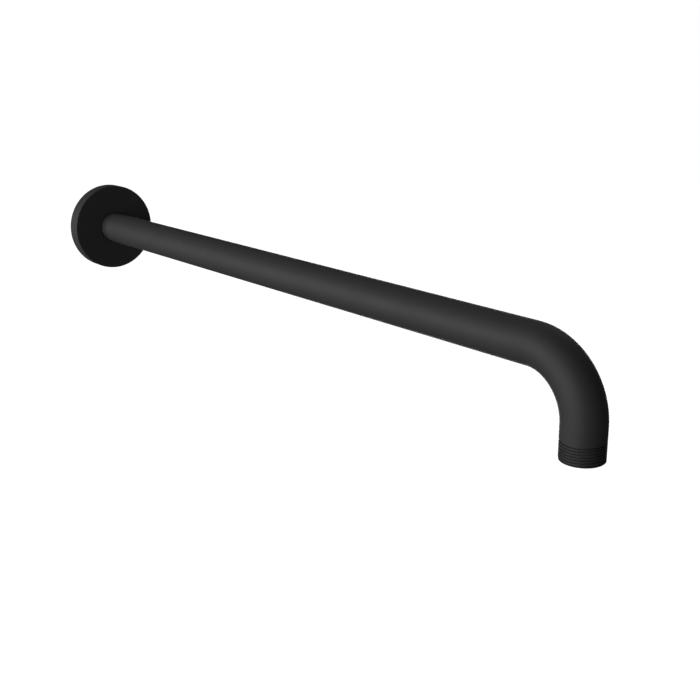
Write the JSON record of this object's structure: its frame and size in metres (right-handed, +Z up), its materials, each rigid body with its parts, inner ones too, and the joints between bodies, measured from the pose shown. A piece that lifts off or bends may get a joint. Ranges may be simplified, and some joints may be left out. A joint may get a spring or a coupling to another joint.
{
  "type": "shower arm",
  "caption": "Straight wall-mounted pipe that bends down to a male threaded outlet for a shower head, with a sliding round wall flange, matte black.",
  "frame": {"origin": "on the pipe's axis in the wall plane, which is the plane of the flange's back rim", "axes": "+X along the level pipe away from the wall, +Z up, the outlet points along -Z"},
  "size_m": [0.4755, 0.061, 0.0765],
  "materials": {
    "pipe_coat": "matte black coat on metal",
    "flange_coat": "matte black coat on metal",
    "ring_rubber": "dull moulded rubber"
  },
  "bodies": {
    "arm": {"arm_pipe": "pipe_coat"},
    "ring": {"grip_ring": "ring_rubber"},
    "flange": {"wall_flange": "flange_coat"}
  },
  "joints": [
    {"name": "flange_slide", "type": "slide", "parent": "arm", "child": "ring", "axis": [1, 0, 0], "range_m": [0, 0.41]},
    {"name": "flange_turn", "type": "hinge", "parent": "ring", "child": "flange", "pos_m": [0.0068, 0, 0], "axis": [1, 0, 0], "continuous": true}
  ]
}
